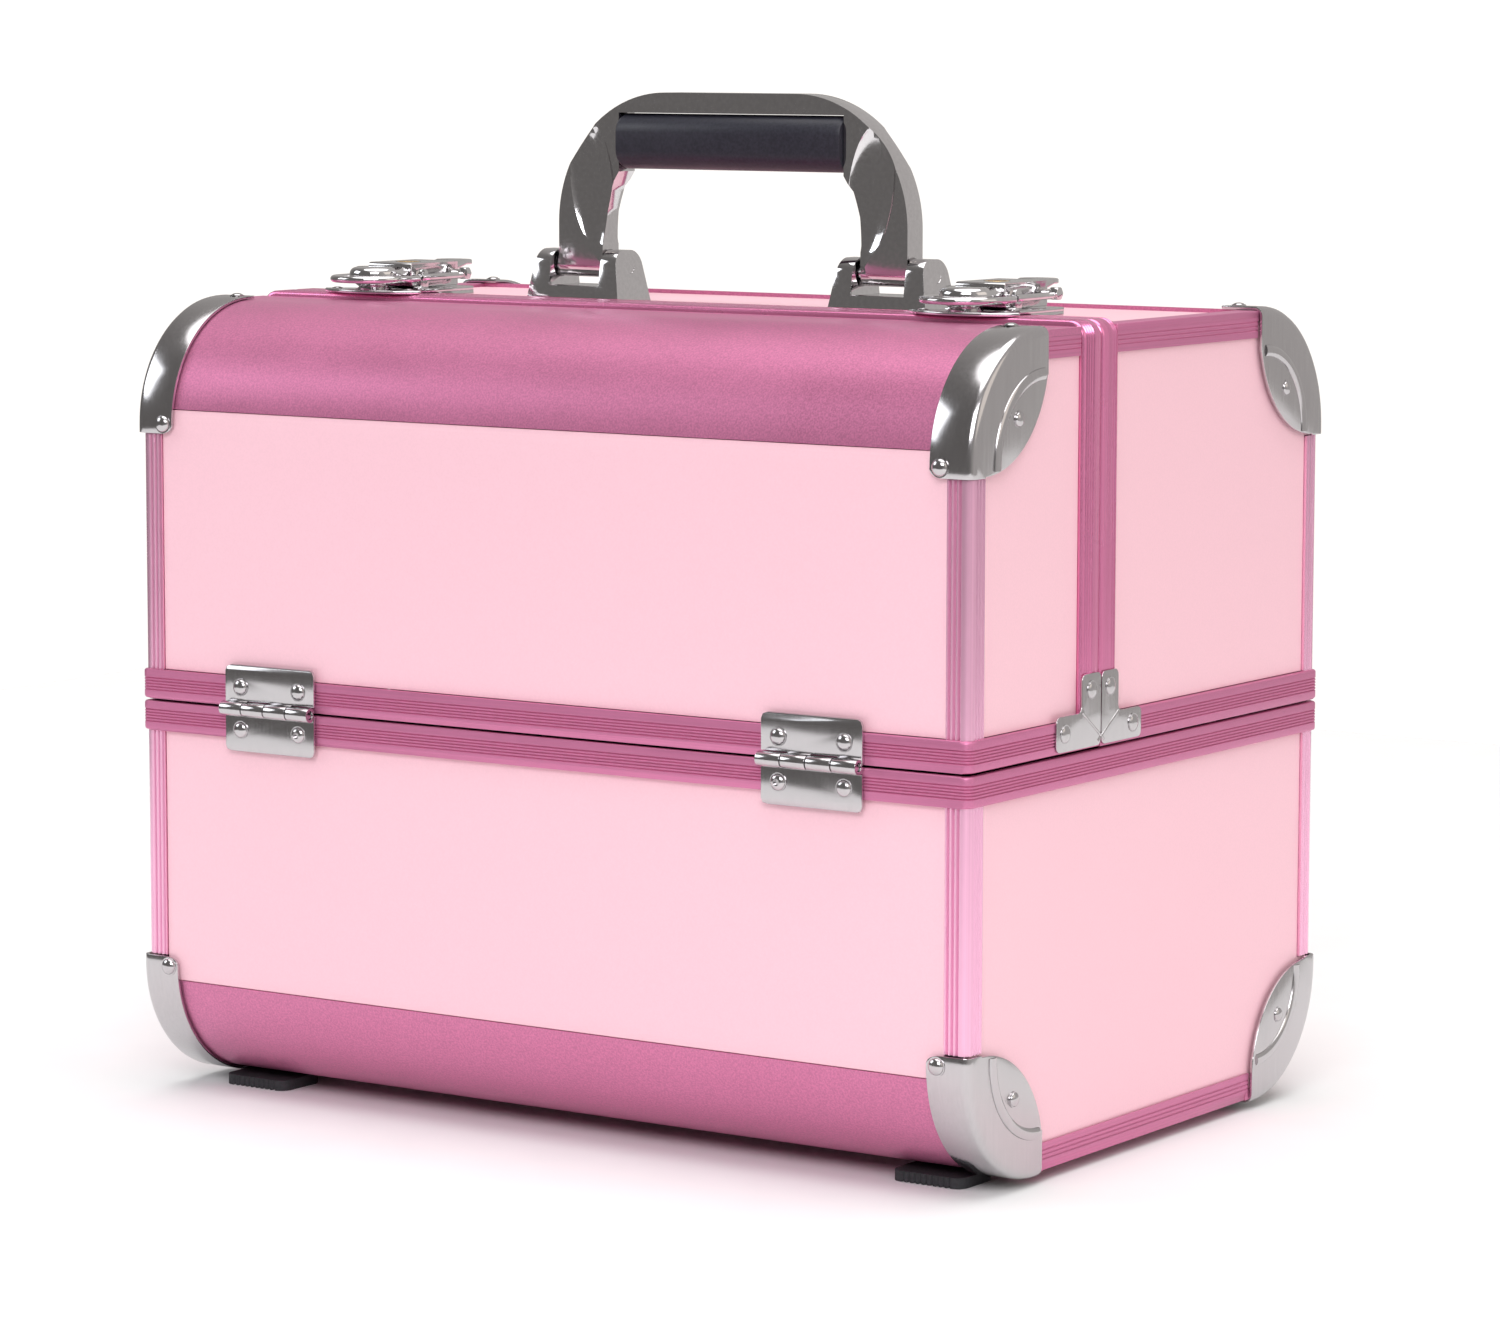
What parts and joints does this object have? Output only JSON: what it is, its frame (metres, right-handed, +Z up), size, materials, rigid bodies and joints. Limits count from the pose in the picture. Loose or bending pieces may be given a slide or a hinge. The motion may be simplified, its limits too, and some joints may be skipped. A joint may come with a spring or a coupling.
{
  "type": "makeup train case",
  "caption": "Rigid travelling beauty case with two split lids hinged front and rear, levelling trays, key latches, metal corners and a folding top handle.",
  "frame": {"origin": "on the ground under the middle of the case", "axes": "+X to the right side, -Y to the front with the smaller lid, +Z up"},
  "size_m": [0.3538, 0.2514, 0.36],
  "materials": {
    "panel": "satin pearl pink laminate",
    "trim": "rose anodised",
    "aluminium": "brushed",
    "chrome": "polished",
    "brass": "polished",
    "grip": "matt",
    "rubber": "ribbed",
    "tray": "flocked"
  },
  "bodies": {
    "base": {"base_frame": "trim", "base_trim": "trim", "base_front_panel": "panel", "base_rear_panel": "panel", "base_left_panel": "panel", "base_right_panel": "panel", "base_bottom_panel": "panel", "base_front_left_corner": "chrome", "base_front_right_corner": "chrome", "base_rear_left_corner": "chrome", "base_rear_right_corner": "chrome", "foot_front_left": "rubber", "foot_front_right": "rubber", "foot_rear_left": "rubber", "foot_rear_right": "rubber", "front_hinge_left_lower_leaf": "chrome", "front_hinge_right_lower_leaf": "chrome", "rear_hinge_left_lower_leaf": "chrome", "rear_hinge_right_lower_leaf": "chrome"},
    "front_lid": {"front_lid_frame": "trim", "front_lid_split_frame": "trim", "front_lid_trim": "trim", "front_lid_panel": "panel", "front_lid_left_end": "panel", "front_lid_right_end": "panel", "front_lid_left_corner": "chrome", "front_lid_right_corner": "chrome", "front_hinge_left_upper_leaf": "chrome", "front_hinge_right_upper_leaf": "chrome", "latch_keeper_left": "chrome", "latch_keeper_right": "chrome"},
    "rear_lid": {"rear_lid_frame": "trim", "rear_lid_split_frame": "trim", "rear_lid_trim": "trim", "rear_lid_panel": "panel", "rear_lid_top_panel": "panel", "rear_lid_left_end": "panel", "rear_lid_right_end": "panel", "rear_lid_left_corner": "chrome", "rear_lid_right_corner": "chrome", "rear_hinge_left_upper_leaf": "chrome", "rear_hinge_right_upper_leaf": "chrome", "latch_base_left": "chrome", "latch_base_right": "chrome", "handle_bracket_left": "chrome", "handle_bracket_right": "chrome", "handle_pin_left": "chrome", "handle_pin_right": "chrome"},
    "handle": {"handle_frame": "chrome", "handle_grip": "grip"},
    "front_tray": {"front_tray": "tray"},
    "rear_tray": {"rear_tray": "tray"},
    "latch_lever_left": {"latch_lever_left": "chrome"},
    "latch_key_left": {"latch_key_left": "brass"},
    "front_arm_left": {"front_tray_arm_left": "aluminium"},
    "rear_arm_left": {"rear_tray_arm_left": "aluminium"},
    "latch_lever_right": {"latch_lever_right": "chrome"},
    "latch_key_right": {"latch_key_right": "brass"},
    "front_arm_right": {"front_tray_arm_right": "aluminium"},
    "rear_arm_right": {"rear_tray_arm_right": "aluminium"}
  },
  "joints": [
    {"name": "front_lid_hinge", "type": "hinge", "parent": "base", "child": "front_lid", "pos_m": [0, -0.1231, 0.143], "axis": [1, 0, 0], "range_deg": [0, 90]},
    {"name": "front_tray_pivot", "type": "hinge", "parent": "front_lid", "child": "front_tray", "pos_m": [0, -0.0831, 0.183], "axis": [-1, 0, 0], "range_deg": [0, 90]},
    {"name": "front_arm_left_pivot", "type": "hinge", "parent": "base", "child": "front_arm_left", "pos_m": [-0.1605, -0.0881, 0.129], "axis": [1, 0, 0], "range_deg": [0, 90]},
    {"name": "front_arm_right_pivot", "type": "hinge", "parent": "base", "child": "front_arm_right", "pos_m": [0.1605, -0.0881, 0.129], "axis": [1, 0, 0], "range_deg": [0, 90]},
    {"name": "rear_lid_hinge", "type": "hinge", "parent": "base", "child": "rear_lid", "pos_m": [0, 0.1231, 0.143], "axis": [-1, 0, 0], "range_deg": [0, 90]},
    {"name": "rear_tray_pivot", "type": "hinge", "parent": "rear_lid", "child": "rear_tray", "pos_m": [0, 0.0831, 0.183], "axis": [1, 0, 0], "range_deg": [0, 90]},
    {"name": "rear_arm_left_pivot", "type": "hinge", "parent": "base", "child": "rear_arm_left", "pos_m": [-0.1605, 0.0881, 0.129], "axis": [-1, 0, 0], "range_deg": [0, 90]},
    {"name": "rear_arm_right_pivot", "type": "hinge", "parent": "base", "child": "rear_arm_right", "pos_m": [0.1605, 0.0881, 0.129], "axis": [-1, 0, 0], "range_deg": [0, 90]},
    {"name": "handle_fold", "type": "hinge", "parent": "rear_lid", "child": "handle", "pos_m": [0, 0.004, 0.2975], "axis": [1, 0, 0], "range_deg": [-90, 90]},
    {"name": "latch_lever_left_lift", "type": "hinge", "parent": "rear_lid", "child": "latch_lever_left", "pos_m": [-0.126, -0.0317, 0.2934], "axis": [1, 0, 0], "range_deg": [0, 90]},
    {"name": "latch_key_left_turn", "type": "hinge", "parent": "latch_lever_left", "child": "latch_key_left", "pos_m": [-0.126, -0.0248, 0.295], "axis": [0, 0, 1], "range_deg": [0, 90]},
    {"name": "latch_lever_right_lift", "type": "hinge", "parent": "rear_lid", "child": "latch_lever_right", "pos_m": [0.126, -0.0317, 0.2934], "axis": [1, 0, 0], "range_deg": [0, 90]},
    {"name": "latch_key_right_turn", "type": "hinge", "parent": "latch_lever_right", "child": "latch_key_right", "pos_m": [0.126, -0.0248, 0.295], "axis": [0, 0, 1], "range_deg": [0, 90]}
  ],
  "couplings": [
    {"joint": "front_tray_pivot", "follows": "front_lid_hinge", "ratio": 1},
    {"joint": "front_arm_left_pivot", "follows": "front_lid_hinge", "ratio": 1},
    {"joint": "front_arm_right_pivot", "follows": "front_lid_hinge", "ratio": 1},
    {"joint": "rear_tray_pivot", "follows": "rear_lid_hinge", "ratio": 1},
    {"joint": "rear_arm_left_pivot", "follows": "rear_lid_hinge", "ratio": 1},
    {"joint": "rear_arm_right_pivot", "follows": "rear_lid_hinge", "ratio": 1}
  ]
}
